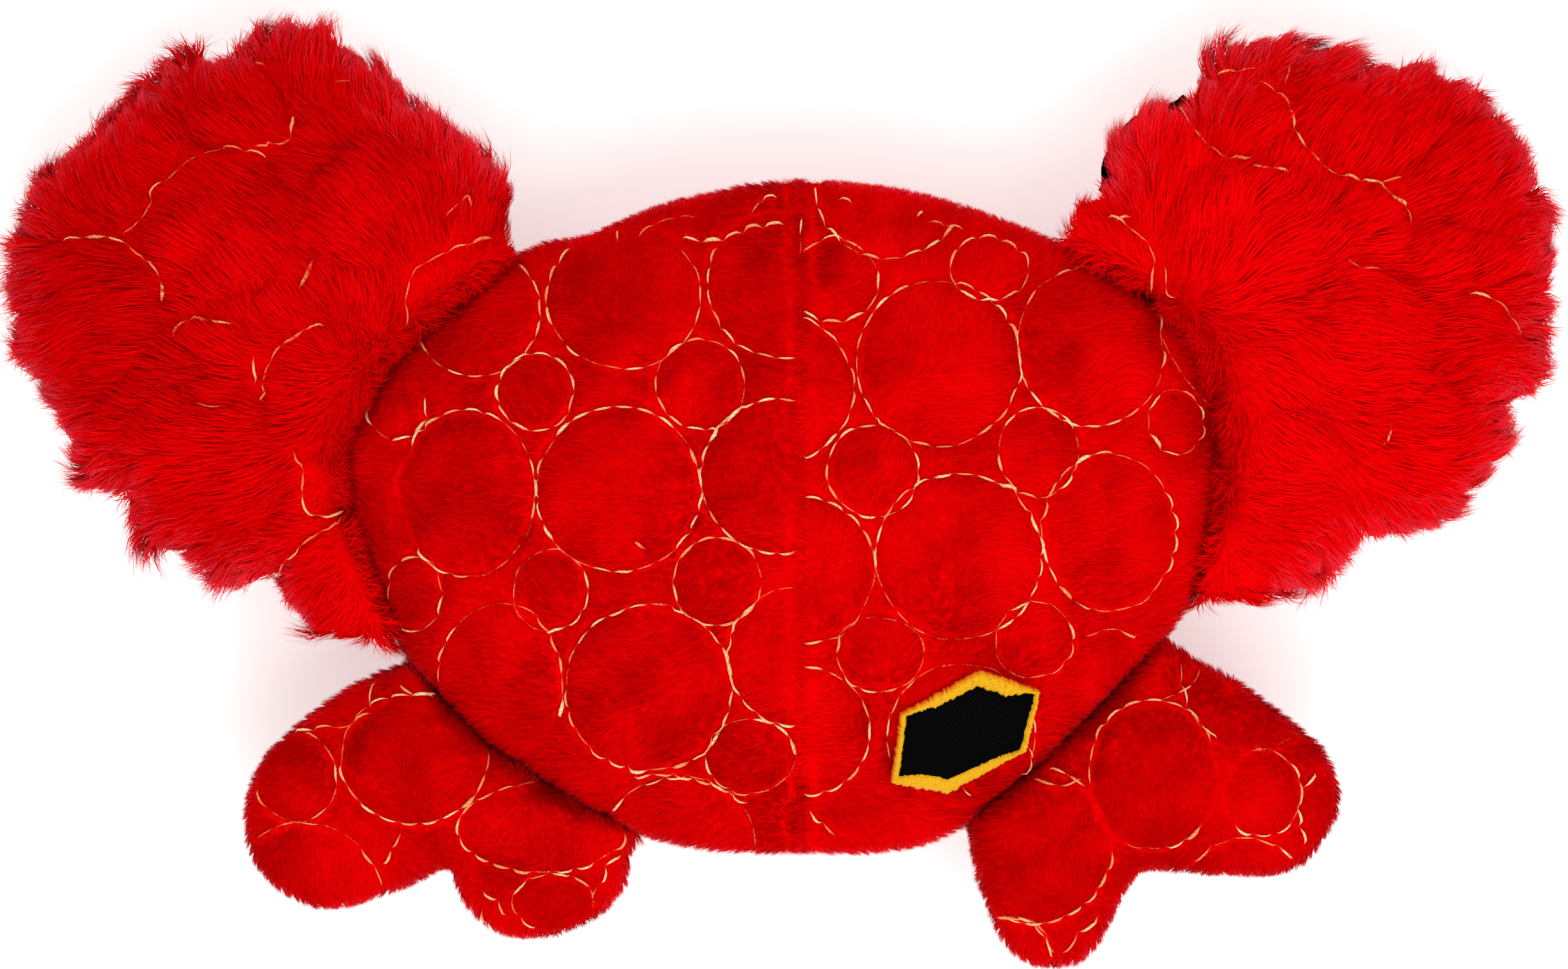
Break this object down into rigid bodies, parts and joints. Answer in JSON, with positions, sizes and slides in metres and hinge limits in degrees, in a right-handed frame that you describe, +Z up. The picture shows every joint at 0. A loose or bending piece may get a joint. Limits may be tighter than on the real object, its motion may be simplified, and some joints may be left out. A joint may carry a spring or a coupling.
{
  "type": "plush crab dog toy",
  "caption": "Stuffed red crab dog toy with a circle-quilted plush body, shaggy fur mitten claws, forked legs and a squeaker inside, lying on its belly.",
  "frame": {"origin": "centre of the bounding box at the surface the belly lies on", "axes": "+X across the claws, +Y towards the top of the body, +Z up out of the back"},
  "size_m": [0.298, 0.1827, 0.0931],
  "materials": {
    "plush": "short-pile red plush, quilted",
    "fur": "long-pile red faux fur, quilted",
    "stuffing": "white fibre fill",
    "squeaker": "soft moulded plastic",
    "lining": "black woven cloth",
    "satin_thread": "yellow satin stitch",
    "quilting_thread": "cream two-ply thread"
  },
  "bodies": {
    "root": {"back_panel_left": "plush", "back_panel_right": "plush", "belly_panel": "plush", "body_stuffing": "stuffing", "squeaker_bulb": "squeaker", "squeaker_reed_plug": "squeaker", "claw_back_left": "fur", "claw_front_left": "fur", "claw_stuffing_left": "stuffing", "claw_lining_left": "lining", "claw_back_right": "fur", "claw_front_right": "fur", "claw_stuffing_right": "stuffing", "claw_lining_right": "lining", "legs_back_left": "plush", "legs_front_left": "plush", "legs_stuffing_left": "stuffing", "legs_back_right": "plush", "legs_front_right": "plush", "legs_stuffing_right": "stuffing", "badge_field": "lining", "badge_border": "satin_thread"}
  },
  "joints": []
}
